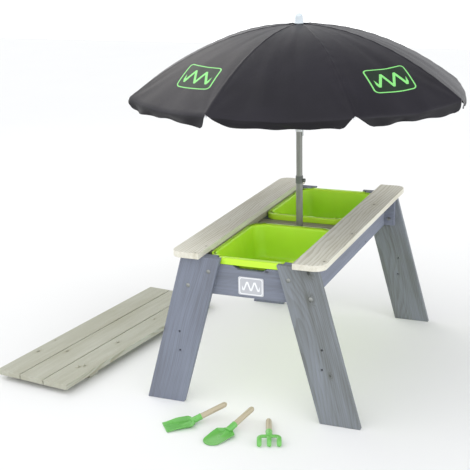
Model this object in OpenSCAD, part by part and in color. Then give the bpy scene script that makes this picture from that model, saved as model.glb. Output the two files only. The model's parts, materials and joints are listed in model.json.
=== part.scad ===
// Sand and water table for children, with two lift-out tubs, a lid, a folding
// parasol and three hand tools. The origin is on the floor under the parasol
// pole, +Z points up, X runs across the table and Y along it.

/* [Table] */
// Height of the table top above the floor
table_h = 500; // [480:5:520]
// Length of the two side boards
table_l = 992; // [980:2:1020]
// Thickness of every board
board_t = 18; // [16:1:19]
// Width of a side board
side_board_w = 94; // [88:1:100]
// Clear gap between the two side boards
gap_w = 291; // [289:1:294]
// Radius of the side boards' outer corners
board_corner_r = 36; // [10:2:60]
// Distance between the outer faces of the end aprons
apron_span = 906; // [904:2:910]
// Height of the aprons and side rails
apron_h = 118; // [112:1:124]
// Width of the cross board between the tubs
centre_board_w = 120; // [114:2:130]

/* [Legs] */
// Width of a leg board, measured square to its edges
leg_w = 120; // [110:1:125]
// Lean of a leg from vertical
leg_lean = 15.4; // [12:0.2:17]
// Distance from the centre plane to a leg's inner edge at its top
leg_top_x = 89; // [88:1:95]
// Spacing of the two bracket holes in a leg
bracket_pitch = 62; // [50:1:70]
// Diameter of the bracket holes
bracket_hole_d = 7; // [6:0.5:8]

/* [Tubs] */
// Depth of a tub below its rim
tub_depth = 118; // [90:2:118]
// Wall thickness of a tub
tub_wall = 3; // [2.5:0.5:3]
// Slope of a tub's walls
tub_slope = 7; // [4:0.5:8]

/* [Lid] */
// Length of a lid board
lid_l = 910; // [908:2:920]
// Width of one lid board
lid_board_w = 92; // [86:1:93]
// Turn of the lid where it lies beside the table
lid_turn = -7; // [-12:1:0]

/* [Parasol] */
// Outer diameter of the lower pole
pole_d = 22; // [21.5:0.5:23]
// Height of the lower pole's top end
lower_pole_top = 630; // [615:5:632]
// Radius of the open canopy at its rim
canopy_r = 543; // [520:1:560]
// Height of the canopy's rim
canopy_rim_z = 922; // [915:1:930]
// Height of the canopy's top
canopy_top_z = 1124; // [1122:1:1126]
// Direction of the first rib
first_rib = -145; // [-180:1:-136]
// Height of the valance that hangs from the rim
valance_h = 38; // [30:1:50]
// Height of the runner's stretcher pivots when the parasol is open
runner_z = 842; // [835:1:850]

/* [Hand tools] */
// Diameter of the wooden handles
handle_d = 17; // [15:0.5:18]
// Length of the wooden handles
handle_l = 85; // [75:1:90]

/* [Hidden] */
$fn = 48;

e = 0.5; // how far a cutter runs past the face it cuts

// Frame
frame_top = table_h - board_t;
frame_low = frame_top - apron_h;
apron_out = apron_span / 2;
apron_in = apron_out - board_t;
apron_half = 214;
rail_out = 178;
rail_in = rail_out - board_t;
shelf_z = frame_top - 22;
recess_z = shelf_z - 11;
horn_x = 105;
recess_x = 55;
recess_floor_x = 38;

// Legs, by height above the floor
leg_run = tan(leg_lean);
leg_span = leg_w / cos(leg_lean);
function leg_inner(z) = leg_top_x + (frame_top - z) * leg_run;
upper_bolt = [126, 439];
lower_bolt = [194, 389];
bracket_x = 228;
bracket_z = 205;
bolt_hole_r = 3.2;
bolt_r = 3;
bolt_l = 2 * board_t + 9;
bolt_dome_r = 9;
bolt_dome_h = 3;
bolt_head_r = 6.5;
washer_r = 6.5;
washer_t = 1.4;
nut_corner_r = 5.8;
nut_t = 5;
nut_bore_r = 3.05;

// Badge on the front apron: lowest and highest corners in its plane
badge_low = [-37, 373];
badge_high = [43, 429];
badge_t = 1.5;
badge_corner = 5;

// Screws
screw_r = 2;
screw_head_r = 4;
screw_head_h = 2.6;
screw_l = 45;
cleat_screw_l = board_t + 13;
lid_screw_l = 29.5;
pilot_r = 2.05;
rail_screw_z = [400, 450];

// Boards and cleats between the rails
centre_board_z = shelf_z - board_t;
pole_board_z = frame_low + board_t;
pole_board_w = 95;
pocket_floor_z = pole_board_z + 6;
drain_r = 4;
centre_cleat_h = 30;
top_cleat_w = 14;
top_cleat_l = 780;
top_cleat_y = [-330, -110, 110, 330];

// Tubs: opening and rim
rim_half = gap_w / 2 - 1;
rim_top = shelf_z + 20;
rim_t = 3;
tub_half = 131;
tub_near_y = 70;
tub_far_y = 427;
rim_near_y = 53;
rim_far_y = apron_in - 1;
tongue_half = horn_x - 1;
tongue_y = apron_out - 1;
tub_corner = 38;
tub_mid_y = (tub_near_y + tub_far_y) / 2;

// Lid, on the floor beside the table
lid_place = [-678, -88];
lid_gap = 3;
lid_pitch = lid_board_w + lid_gap;
batten_w = 45;
batten_l = 254;
batten_y = [-291, 172];
// Two screws where a batten crosses a board, on a slant
lid_screw_off = [24, 10];

// Poles
pole_r = pole_d / 2;
pole_bore_r = pole_r - 0.8;
upper_r = pole_bore_r - 0.1;
upper_bore_r = upper_r - 1;
upper_bottom = 440;
upper_top = 1112;
collar_r = 12.2;
collar_low = lower_pole_top - 20;
boss_r = 5;
boss_l = 1.6;
collar_lip_top = lower_pole_top + 4;
knob_z = lower_pole_top - 10;
knob_r = 6;
knob_t = 6;
knob_lobes = 6;
knob_flute_r = 1.8;
knob_gap = 0.3;
knob_stem_r = 2.5;
knob_bore_r = 2.6;

// Parasol head
ribs = 8;
rib_pitch = 360 / ribs;
rib_r = 2;
hub_r = 21;
hub_low = 1107;
hub_high = 1121;
hub_neck_r = 12.5;
hub_neck_h = 14;
hub_slot_h = 12;
finial_r = 13.5;
finial_h = 36;
finial_seat = canopy_top_z - hub_high + 2;
finial_stem_r = 7;
finial_flange = 1.5;
rib_pivot_r = 16;
rib_pivot_z = 1115;
ring_r = 1;
eye_bore_r = 1.2;
rib_eye_r = 2.8;
rib_eye_t = 3.4;
rib_tip_ball_r = 3.4;
rivet_boss_r = 3;
rivet_boss_w = 4;
slot_w = 5;
// The rib is an arc from its pivot to its tip
rib_tip_r = canopy_r - 6;
rib_tip_z = canopy_rim_z - 3;
rib_sagitta = 44;
rib_chord = norm([rib_tip_r - rib_pivot_r, rib_pivot_z - rib_tip_z]);
rib_arc_r = (rib_chord * rib_chord / 4 + rib_sagitta * rib_sagitta) / (2 * rib_sagitta);
rib_half_angle = asin(rib_chord / 2 / rib_arc_r);
rib_chord_dip = atan2(rib_pivot_z - rib_tip_z, rib_tip_r - rib_pivot_r);
rib_start_dip = rib_chord_dip - rib_half_angle;
// Centre of the rib's arc, in the rib's own vertical plane
arc_x = rib_pivot_r - rib_arc_r * sin(rib_start_dip);
arc_z = rib_pivot_z - rib_arc_r * cos(rib_start_dip);
// Rivet where the stretcher meets the rib
rivet_r = 130;
rivet_z = arc_z + sqrt(rib_arc_r * rib_arc_r - pow(rivet_r - arc_x, 2)) - 5;

// Runner and stretchers
runner_bore_r = upper_r + 0.15;
runner_body_r = 12.6;
runner_flange_r = 23;
runner_flange_h = 14;
runner_low = 782;
runner_slot_r = 13.6;
stretcher_pivot_r = 18;
stretcher_side = 4.8;
stretcher_t = 2.6;
stretcher_h = 5;
stretcher_eye_r = 3;
stretcher_bore_r = 1.55;
latch_w = 8;
latch_t = 5;
latch_l = 38;
latch_low = runner_low - 15;
latch_gap = 0.3;
latch_window_h = 24;

// Canopy sheet, by distance from the pole
sheet_t = 1.2;
panel_gap = 0.35;
canopy_hole_r = 13;
canopy_rings = 14;
canopy_cols = 6;
canopy_drop = canopy_top_z - canopy_rim_z;
flat_panel = 0.55;
rim_sag = 12;
function dome_z(r) = canopy_top_z - canopy_drop * pow(r / canopy_r, 2);
// Between ribs the rim comes closer to the pole and hangs a little lower
function rim_factor(a) =
    let (flat = cos(rib_pitch / 2) / cos(rib_pitch / 2 - abs(a)))
    1 - flat_panel * (1 - flat);
function canopy_point(t, a) =
    let (r = canopy_hole_r + (canopy_r - canopy_hole_r) * t)
    let (pull = 1 - (1 - rim_factor(a)) * t)
    let (off_rib = 1 - abs(a) / (rib_pitch / 2))
    let (sag = rim_sag * (1 - off_rib * off_rib) * pow(t, 6))
    [r * pull * cos(a), r * pull * sin(a), dome_z(r) - sag];

// Hand tools: place of each tool's neck line on the floor, and its direction
shovel_place = [-166, -627, 0];
shovel_turn = 39;
trowel_place = [-24, -658, 0];
trowel_turn = 70;
rake_place = [120, -627, 0];
rake_turn = 111;
tool_t = 2.5;
socket_r = handle_d / 2 + 1.6;
socket_l = 32;
socket_depth = 24;
shovel_rise = 20;
trowel_rise = 15;
rake_rise = -3.4;
shovel_neck = [40, 0, 10.5];
trowel_neck = [40, 0, 10.5];
rake_neck = [6, 0, 15];
handle_seat = socket_l - socket_depth;
handle_end_r = 5;
handle_chamfer = 8;
// Blades, from the middle of each: half lengths and half widths
shovel_half = [44, 32];
shovel_cut = [6, 10];
shovel_wall_h = 13;
trowel_nose = -24;
trowel_nose_r = 29;
trowel_wide = 34;
trowel_back = [30, 44];
trowel_edge_r = 1.5;
// Rake: the tines bend down from a bar
tine_w = 14;
tine_t = 7;
tine_pitch = 28.5;
tine_bend = [-17, 14];
tine_root_x = 4.5;
rake_bar = [[-5, 8], [11, 21.5]];

module cyl_x(r, l) {
    rotate([0, 90, 0]) cylinder(r = r, h = l);
}

module cyl_y(r, l) {
    rotate([-90, 0, 0]) cylinder(r = r, h = l);
}

// Axis-aligned block from its lowest corner and its size
module block(low, size) {
    translate(low) cube(size);
}

// Rectangle with four equal rounded corners
module rounded_rect(low, high, r) {
    translate([low.x + r, low.y]) square([high.x - low.x - 2 * r, high.y - low.y]);
    translate([low.x, low.y + r]) square([high.x - low.x, high.y - low.y - 2 * r]);
    for (x = [low.x + r, high.x - r], y = [low.y + r, high.y - r])
        translate([x, y]) circle(r = r);
}

// Puts a front part at the front (-1) or the back (+1) end of the table
module at_end(end) {
    if (end < 0) children();
    else mirror([0, 1, 0]) children();
}

module at_side(side) {
    if (side > 0) children();
    else mirror([1, 0, 0]) children();
}

// Turns a part made in the XZ plane to rib number i
module at_rib(i) {
    rotate([0, 0, first_rib + rib_pitch * (i - 1)]) children();
}

// ---- Frame ----

module leg_outline() {
    polygon([
        [leg_inner(0), 0], [leg_inner(0) + leg_span, 0],
        [leg_top_x + leg_span, frame_top], [leg_top_x, frame_top]
    ]);
}

module leg_holes() {
    for (p = [upper_bolt, lower_bolt])
        translate([p.x, -apron_out - board_t - e, p.y])
            cyl_y(bolt_hole_r, board_t + 2 * e);
    for (s = [-1, 1])
        translate([bracket_x, -apron_out - board_t - e, bracket_z + s * bracket_pitch / 2])
            cyl_y(bracket_hole_d / 2, board_t + 2 * e);
}

module leg(side, end) {
    color("#747c88") at_side(side) at_end(end) difference() {
        translate([0, -apron_out, 0]) rotate([90, 0, 0])
            linear_extrude(board_t) leg_outline();
        leg_holes();
    }
}

// Side board with its two outer corners rounded
module side_board(side) {
    inner = gap_w / 2;
    outer = inner + side_board_w;
    r = board_corner_r;
    color("#b5b0a4") at_side(side) difference() {
        translate([0, 0, frame_top]) linear_extrude(board_t) {
            translate([inner, -table_l / 2]) square([side_board_w - r, table_l]);
            translate([inner, -table_l / 2 + r]) square([side_board_w, table_l - 2 * r]);
            for (s = [-1, 1]) translate([outer - r, s * (table_l / 2 - r)]) circle(r = r);
        }
        for (y = top_cleat_y)
            translate([rail_in - top_cleat_w / 2, y, frame_top - e])
                cylinder(r = pilot_r, h = 12 + e);
    }
}

module apron_outline() {
    polygon([
        [-apron_half, frame_low], [apron_half, frame_low],
        [apron_half, frame_top], [horn_x, frame_top], [horn_x, shelf_z],
        [recess_x, shelf_z], [recess_floor_x, recess_z], [-recess_floor_x, recess_z],
        [-recess_x, shelf_z], [-horn_x, shelf_z], [-horn_x, frame_top],
        [-apron_half, frame_top]
    ]);
}

module end_apron(end) {
    color("#747c88") at_end(end) difference() {
        translate([0, -apron_in, 0]) rotate([90, 0, 0])
            linear_extrude(board_t) apron_outline();
        for (s = [-1, 1]) {
            for (p = [upper_bolt, lower_bolt])
                translate([s * p.x, -apron_out - e, p.y])
                    cyl_y(bolt_hole_r, board_t + 2 * e);
            for (z = rail_screw_z) translate([s * (rail_out - board_t / 2), 0, z]) {
                translate([0, -apron_out - e, 0]) cyl_y(pilot_r, board_t + 2 * e);
                translate([0, -apron_out - e, 0]) cyl_y(screw_head_r + 0.1, screw_head_h + 0.1 + e);
            }
        }
    }
}

module side_rail(side) {
    color("#747c88") at_side(side) difference() {
        block([rail_in, -apron_in, frame_low], [board_t, 2 * apron_in, apron_h]);
        for (end = [-1, 1], z = rail_screw_z) at_end(end)
            translate([rail_out - board_t / 2, -apron_in - e, z])
                cyl_y(pilot_r, screw_l - board_t + 1 + e);
    }
}

// Cross board between the tubs, which the pole passes through
module centre_board() {
    color("#b9a984") difference() {
        block([-rail_in, -centre_board_w / 2, centre_board_z],
              [2 * rail_in, centre_board_w, board_t]);
        translate([0, 0, centre_board_z - e]) cylinder(r = pole_r + 0.1, h = board_t + 2 * e);
    }
}

// Lower cross board with a pocket for the pole's foot and a drain hole
module pole_board() {
    color("#b9a984") difference() {
        block([-rail_in, -pole_board_w / 2, pole_board_z],
              [2 * rail_in, pole_board_w, board_t]);
        translate([0, 0, pocket_floor_z]) cylinder(r = pole_r + 0.1, h = board_t);
        translate([0, 0, pole_board_z - e]) cylinder(r = drain_r, h = board_t);
    }
}

module cleats() {
    cleat_x = rail_in - board_t;
    color("#b9a984") for (s = [-1, 1]) at_side(s) {
        difference() {
            block([rail_in - top_cleat_w, -top_cleat_l / 2, frame_top - board_t],
                  [top_cleat_w, top_cleat_l, board_t]);
            for (y = top_cleat_y)
                translate([rail_in - top_cleat_w / 2, y, frame_top - board_t - e])
                    cylinder(r = pilot_r, h = board_t + 2 * e);
        }
        block([cleat_x, -centre_board_w / 2, centre_board_z - centre_cleat_h],
              [board_t, centre_board_w, centre_cleat_h]);
        block([cleat_x, -pole_board_w / 2, frame_low], [board_t, pole_board_w, board_t]);
    }
}

// Blank metal badge with rounded corners on the front apron
module badge() {
    color("#c4c4cc") translate([0, -apron_out, 0]) rotate([90, 0, 0])
        linear_extrude(badge_t) rounded_rect(badge_low, badge_high, badge_corner);
}

module bolt_places() {
    for (side = [-1, 1], end = [-1, 1], p = [upper_bolt, lower_bolt])
        at_side(side) at_end(end) translate([p.x, -apron_out - board_t, p.y]) children();
}

// Coach bolts through legs and aprons, with domed heads outside
module leg_bolts() {
    color("#d8d8da") bolt_places() {
        cyl_y(bolt_r, bolt_l);
        intersection() {
            translate([0, bolt_dome_r - bolt_dome_h, 0]) sphere(r = bolt_dome_r);
            translate([0, -bolt_dome_h, 0]) cyl_y(bolt_head_r, bolt_dome_h);
        }
    }
}

// A washer and a hexagon nut on each bolt, inside the apron
module leg_nuts() {
    color("#d8d8da") bolt_places() translate([0, 2 * board_t, 0]) difference() {
        union() {
            cyl_y(washer_r, washer_t);
            translate([0, washer_t, 0]) rotate([-90, 0, 0])
                cylinder(r = nut_corner_r, h = nut_t, $fn = 6);
        }
        translate([0, -e, 0]) cyl_y(nut_bore_r, washer_t + nut_t + 2 * e);
    }
}

// Countersunk wood screw along +Z, its head's face at z = 0
module wood_screw(l) {
    cylinder(r = screw_head_r, h = screw_head_h);
    cylinder(r = screw_r, h = l);
}

module frame_screws() {
    color("#c9c9c9") for (side = [-1, 1]) at_side(side) {
        for (end = [-1, 1], z = rail_screw_z) at_end(end)
            translate([rail_out - board_t / 2, -apron_out, z]) rotate([-90, 0, 0])
                wood_screw(screw_l);
        for (y = top_cleat_y)
            translate([rail_in - top_cleat_w / 2, y, frame_top - board_t - screw_head_h])
                wood_screw(cleat_screw_l);
    }
}

// ---- Tubs ----

module tub_outline(inset) {
    rounded_rect([-tub_half + inset, tub_near_y + inset], [tub_half - inset, tub_far_y - inset],
                 tub_corner);
}

// Outer line of the rim: a tongue fits between the apron's horns
module rim_outline(inset) {
    rounded_rect([-rim_half + inset, rim_near_y + inset], [rim_half - inset, rim_far_y - inset],
                 tub_corner + 6);
    translate([-tongue_half + inset, tub_mid_y])
        square([2 * (tongue_half - inset), tongue_y - inset - tub_mid_y]);
}

// Tapered block from the rim down to a depth, wider by a margin on every side
module tub_block(margin, depth) {
    taper = depth * tan(tub_slope);
    $fn = 32;
    hull() {
        translate([0, 0, rim_top - 0.1]) linear_extrude(0.1) tub_outline(-margin);
        translate([0, 0, rim_top - depth + 14]) linear_extrude(0.1) tub_outline(taper - margin);
        translate([0, 0, rim_top - depth]) linear_extrude(0.1) tub_outline(taper + 14 - margin);
    }
}

module tub(end) {
    color("#94c832") mirror([0, end < 0 ? 1 : 0, 0]) difference() {
        union() {
            difference() {
                translate([0, 0, shelf_z]) linear_extrude(rim_top - shelf_z) rim_outline(0);
                translate([0, 0, shelf_z - e])
                    linear_extrude(rim_top - shelf_z - rim_t + e) rim_outline(rim_t);
            }
            tub_block(tub_wall, tub_depth);
        }
        translate([0, 0, 0.1]) tub_block(0, tub_depth - tub_wall);
    }
}

// ---- Lid ----

module on_lid() {
    translate([lid_place.x, lid_place.y, 0]) rotate([0, 0, lid_turn]) children();
}

module lid_screw_places() {
    for (b = [-1, 0, 1], y = batten_y, s = [-1, 1])
        translate([b * lid_pitch + s * lid_screw_off.x, y + s * lid_screw_off.y, 0]) children();
}

module lid_boards() {
    color("#cfcaa8") on_lid() for (b = [-1, 0, 1]) difference() {
        block([b * lid_pitch - lid_board_w / 2, -lid_l / 2, board_t], [lid_board_w, lid_l, board_t]);
        lid_screw_places() translate([0, 0, board_t - e]) cylinder(r = pilot_r, h = 12.5 + e);
    }
}

module lid_battens() {
    color("#a79f80") on_lid() difference() {
        for (y = batten_y)
            block([-batten_l / 2, y - batten_w / 2, 0], [batten_l, batten_w, board_t]);
        lid_screw_places() {
            translate([0, 0, -e]) cylinder(r = pilot_r, h = board_t + 2 * e);
            translate([0, 0, -e]) cylinder(r = screw_head_r + 0.1, h = screw_head_h + 0.3 + e);
        }
    }
}

module lid_screws() {
    color("#c9c9c9") on_lid() lid_screw_places() translate([0, 0, 0.2]) wood_screw(lid_screw_l);
}

// ---- Poles ----

module lower_pole() {
    color("#74776f") difference() {
        translate([0, 0, pocket_floor_z]) cylinder(r = pole_r, h = lower_pole_top - pocket_floor_z);
        translate([0, 0, pocket_floor_z - e])
            cylinder(r = pole_bore_r, h = lower_pole_top - pocket_floor_z + 2 * e);
        translate([0, 0, knob_z]) cyl_x(knob_bore_r, pole_r + e);
    }
}

// Plastic collar on the lower pole's top end, with a boss for the clamp knob
module clamp_collar() {
    color("#6c6f68") difference() {
        union() {
            translate([0, 0, collar_low]) cylinder(r = collar_r, h = collar_lip_top - collar_low);
            translate([0, 0, knob_z]) cyl_x(boss_r, collar_r + boss_l);
        }
        translate([0, 0, collar_low - e])
            cylinder(r = pole_r + 0.02, h = lower_pole_top - collar_low + e);
        translate([0, 0, lower_pole_top - e]) cylinder(r = upper_r + 0.3, h = 4 + 2 * e);
        translate([0, 0, knob_z]) cyl_x(knob_bore_r, collar_r + boss_l + e);
    }
}

module clamp_knob() {
    head_x = collar_r + boss_l + knob_gap;
    color("#5c5f5a") translate([0, 0, knob_z]) {
        translate([upper_r + 0.2, 0, 0]) cyl_x(knob_stem_r, head_x - upper_r);
        difference() {
            translate([head_x, 0, 0]) cyl_x(knob_r, knob_t);
            for (k = [0 : knob_lobes - 1]) rotate([360 / knob_lobes * k, 0, 0])
                translate([head_x + 1.5, 0, knob_r + 1]) cyl_x(knob_flute_r, knob_t);
        }
    }
}

module upper_pole() {
    color("#74776f") difference() {
        translate([0, 0, upper_bottom]) cylinder(r = upper_r, h = upper_top - upper_bottom);
        translate([0, 0, upper_bottom - e])
            cylinder(r = upper_bore_r, h = upper_top - upper_bottom + 2 * e);
    }
}

// ---- Parasol head ----

// Hub on the pole's top: eight slots hold the ribs' eyes on a ring wire
module crown_hub() {
    color("#d9dde0") {
        difference() {
            union() {
                translate([0, 0, hub_low]) cylinder(r = hub_r, h = hub_high - hub_low);
                translate([0, 0, hub_low - hub_neck_h]) cylinder(r = hub_neck_r, h = hub_neck_h);
            }
            translate([0, 0, hub_low - hub_neck_h - e])
                cylinder(r = upper_r + 0.02, h = upper_top - hub_low + hub_neck_h + e);
            for (i = [1 : ribs]) at_rib(i)
                block([hub_neck_r + 0.1, -slot_w / 2, hub_low - e], [hub_r, slot_w, hub_slot_h + e]);
        }
        translate([0, 0, rib_pivot_z]) rotate_extrude() translate([rib_pivot_r, 0]) circle(r = ring_r);
    }
}

// Cap over the hub, above the canopy
module finial() {
    flange_r = finial_r + finial_flange;
    color("#dfe8ec") translate([0, 0, hub_high]) rotate_extrude() polygon([
        [0, 0], [finial_stem_r, 0], [finial_stem_r, finial_seat], [flange_r, finial_seat],
        [flange_r, finial_seat + 4], [finial_r, finial_seat + 6], [finial_r - 1, finial_h - 6],
        [finial_r - 4, finial_h - 1.5], [finial_r - 8, finial_h], [0, finial_h]
    ]);
}

// One rib: eye, curved rod, rivet boss and a rounded tip
module rib(i) {
    color("#e4e6e6") at_rib(i) difference() {
        union() {
            translate([rib_pivot_r, -rib_eye_t / 2, rib_pivot_z]) cyl_y(rib_eye_r, rib_eye_t);
            translate([arc_x, 0, arc_z]) rotate([90, 0, 0])
                rotate([0, 0, 90 - rib_start_dip - 2 * rib_half_angle])
                    rotate_extrude(angle = 2 * rib_half_angle - 0.12)
                        translate([rib_arc_r, 0]) circle(r = rib_r, $fn = 16);
            translate([rib_tip_r, 0, rib_tip_z]) sphere(r = rib_tip_ball_r);
            translate([rivet_r, -rib_r, rivet_z]) cyl_y(rivet_boss_r, 2 * rib_r);
            block([rivet_r - rivet_boss_w / 2, -rib_r, rivet_z], [rivet_boss_w, 2 * rib_r, 5]);
        }
        translate([rib_pivot_r, -rib_eye_t / 2 - e, rib_pivot_z]) cyl_y(eye_bore_r, rib_eye_t + 2 * e);
    }
}

module runner() {
    color("#e9e9ea") {
        difference() {
            union() {
                translate([0, 0, runner_low]) cylinder(r = runner_body_r, h = runner_z - runner_low);
                translate([0, 0, runner_z - runner_flange_h / 2])
                    cylinder(r = runner_flange_r, h = runner_flange_h);
            }
            translate([0, 0, runner_low - e])
                cylinder(r = runner_bore_r, h = runner_z - runner_low + runner_flange_h);
            for (i = [1 : ribs]) at_rib(i)
                block([runner_slot_r, stretcher_side - stretcher_t / 2 - 0.5,
                       runner_z - runner_flange_h],
                      [runner_flange_r, stretcher_t + 1, 2 * runner_flange_h]);
            block([10, -latch_w / 2 - latch_gap, runner_low - e],
                  [10, latch_w + 2 * latch_gap, latch_window_h + e]);
        }
        translate([0, 0, runner_z]) rotate_extrude()
            translate([stretcher_pivot_r + 0.6, 0]) circle(r = ring_r);
    }
}

// Press tongue that hangs from the runner and frees it on the pole
module runner_latch() {
    color("#e9e9ea") intersection() {
        block([upper_r + 1.6, -latch_w / 2, latch_low], [latch_t, latch_w, latch_l]);
        translate([0, 0, latch_low]) cylinder(r = runner_body_r + 1.8, h = latch_l);
    }
}

// Flat stretcher beside its rib: the eye at the runner turns on the ring wire,
// and the far end stops short of the rib's rivet boss
module stretcher(i) {
    reach = [rivet_r - stretcher_pivot_r, rivet_z - runner_z];
    rise = atan2(reach.y, reach.x);
    color("#d8d8da") at_rib(i)
        translate([stretcher_pivot_r, stretcher_side - stretcher_t / 2, runner_z])
            rotate([0, -rise, 0]) difference() {
                union() {
                    cyl_y(stretcher_eye_r, stretcher_t);
                    block([0, 0, -stretcher_h / 2], [norm(reach), stretcher_t, stretcher_h]);
                    translate([norm(reach), 0, 0]) cyl_y(stretcher_eye_r, stretcher_t);
                }
                translate([0, -e, 0]) cyl_y(stretcher_bore_r, stretcher_t + 2 * e);
            }
}

// Closed sheet over one rib, from halfway across one panel to halfway across
// the next, with the valance hanging from its rim
module canopy_piece(i) {
    half = rib_pitch / 2;
    rows = canopy_rings + 2;
    cols = canopy_cols + 1;
    gap = panel_gap;
    function ang(c) = -half + rib_pitch * c / canopy_cols;
    function top_point(row, c) =
        row <= canopy_rings
            ? canopy_point(row / canopy_rings, ang(c))
            : let (rim = canopy_point(1, ang(c))) [rim.x, rim.y, canopy_rim_z - valance_h];
    function shift(p, c) =
        c == 0 ? p + gap * [sin(half), cos(half), 0]
        : c == canopy_cols ? p + gap * [sin(half), -cos(half), 0] : p;
    function inward(p) = p - sheet_t / canopy_r * [p.x, p.y, 0];
    function under(p, row) =
        row < canopy_rings ? p - [0, 0, sheet_t]
        : row == canopy_rings ? inward(p) - [0, 0, sheet_t] : inward(p);
    pts = [
        for (row = [0 : rows - 1], c = [0 : cols - 1]) shift(top_point(row, c), c),
        for (row = [0 : rows - 1], c = [0 : cols - 1]) under(shift(top_point(row, c), c), row)
    ];
    n = rows * cols;
    function at(row, c, side) = side * n + row * cols + c;
    faces = concat(
        [for (row = [0 : rows - 2], c = [0 : cols - 2])
            each [[at(row, c, 0), at(row, c + 1, 0), at(row + 1, c, 0)],
                  [at(row, c + 1, 0), at(row + 1, c + 1, 0), at(row + 1, c, 0)]]],
        [for (row = [0 : rows - 2], c = [0 : cols - 2])
            each [[at(row, c, 1), at(row + 1, c, 1), at(row, c + 1, 1)],
                  [at(row, c + 1, 1), at(row + 1, c, 1), at(row + 1, c + 1, 1)]]],
        [for (row = [0 : rows - 2])
            each [[at(row, 0, 0), at(row + 1, 0, 0), at(row, 0, 1)],
                  [at(row + 1, 0, 0), at(row + 1, 0, 1), at(row, 0, 1)],
                  [at(row, cols - 1, 0), at(row, cols - 1, 1), at(row + 1, cols - 1, 0)],
                  [at(row + 1, cols - 1, 0), at(row, cols - 1, 1), at(row + 1, cols - 1, 1)]]],
        [for (c = [0 : cols - 2])
            each [[at(0, c, 0), at(0, c, 1), at(0, c + 1, 0)],
                  [at(0, c + 1, 0), at(0, c, 1), at(0, c + 1, 1)],
                  [at(rows - 1, c, 0), at(rows - 1, c + 1, 0), at(rows - 1, c, 1)],
                  [at(rows - 1, c + 1, 0), at(rows - 1, c + 1, 1), at(rows - 1, c, 1)]]]
    );
    color("#45424a") at_rib(i) polyhedron(points = pts, faces = faces);
}

// ---- Hand tools ----

module place_tool(place, turn) {
    translate(place) rotate([0, 0, turn]) children();
}

// Puts a part made along +Z onto the tool's inclined neck line
module on_neck(start, rise) {
    translate(start) rotate([0, 90 - rise, 0]) children();
}

module socket() {
    difference() {
        cylinder(r1 = socket_r - 0.5, r2 = socket_r, h = socket_l);
        translate([0, 0, handle_seat]) cylinder(r = handle_d / 2 + 0.1, h = socket_depth + e);
    }
}

module wooden_handle() {
    straight = handle_l + socket_depth - handle_chamfer;
    translate([0, 0, handle_seat]) {
        cylinder(r = handle_d / 2, h = straight);
        translate([0, 0, straight])
            cylinder(r1 = handle_d / 2, r2 = handle_end_r, h = handle_chamfer);
    }
}

module shovel_blade() {
    half = shovel_half;
    cut = half - shovel_cut;
    color("#5fc455") place_tool(shovel_place, shovel_turn) {
        linear_extrude(tool_t) polygon([
            [-half.x, -half.y], [cut.x, -half.y], [half.x, -cut.y],
            [half.x, cut.y], [cut.x, half.y], [-half.x, half.y]
        ]);
        for (s = [-1, 1]) translate([0, s * (half.y - tool_t / 2), 0]) rotate([90, 0, 0])
            linear_extrude(tool_t, center = true)
                polygon([[14 - half.x, 1], [cut.x, 1], [cut.x, shovel_wall_h], [10, shovel_wall_h - 1]]);
        block([half.x - tool_t, -cut.y, 0], [tool_t, 2 * cut.y, shovel_wall_h]);
        on_neck(shovel_neck, shovel_rise) socket();
    }
}

module shovel_handle() {
    color("#dccfae") place_tool(shovel_place, shovel_turn)
        on_neck(shovel_neck, shovel_rise) wooden_handle();
}

module trowel_blade() {
    r = trowel_edge_r;
    back = trowel_back;
    color("#5fc455") place_tool(trowel_place, trowel_turn) {
        linear_extrude(tool_t) {
            translate([trowel_nose, 0]) circle(r = trowel_nose_r);
            polygon([
                [trowel_nose, -trowel_nose_r], [back.x, -trowel_wide], [back.y, -12],
                [back.y, 12], [back.x, trowel_wide], [trowel_nose, trowel_nose_r]
            ]);
        }
        for (s = [-1, 1]) hull()
            for (p = [[back.x - 2, trowel_wide - 2, r], [back.x - 2, trowel_wide - 1, 11],
                      [trowel_nose - 2, trowel_nose_r - 2, r]])
                translate([p.x, s * p.y, p.z]) sphere(r = r, $fn = 16);
        on_neck(trowel_neck, trowel_rise) socket();
    }
}

module trowel_handle() {
    color("#dccfae") place_tool(trowel_place, trowel_turn)
        on_neck(trowel_neck, trowel_rise) wooden_handle();
}

// Side view of one tine: forward from the bar, then down to the floor
module tine_profile() {
    bend_x = tine_bend[0];
    inner_r = tine_bend[1];
    translate([bend_x, 0]) intersection() {
        difference() {
            circle(r = inner_r + tine_t);
            circle(r = inner_r);
        }
        translate([-30, 0]) square([30, 30]);
    }
    translate([bend_x - e, inner_r]) square([tine_root_x - bend_x + e, tine_t]);
}

module rake_head() {
    bar_half = tine_pitch + tine_w / 2;
    color("#5fc455") place_tool(rake_place, rake_turn) {
        for (k = [-1, 0, 1]) translate([0, k * tine_pitch, 0]) rotate([90, 0, 0])
            linear_extrude(tine_w, center = true) tine_profile();
        block([rake_bar[0][0], -bar_half, rake_bar[1][0]],
              [rake_bar[0][1] - rake_bar[0][0], 2 * bar_half, rake_bar[1][1] - rake_bar[1][0]]);
        on_neck(rake_neck, rake_rise) socket();
    }
}

module rake_handle() {
    color("#dccfae") place_tool(rake_place, rake_turn)
        on_neck(rake_neck, rake_rise) wooden_handle();
}

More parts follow.
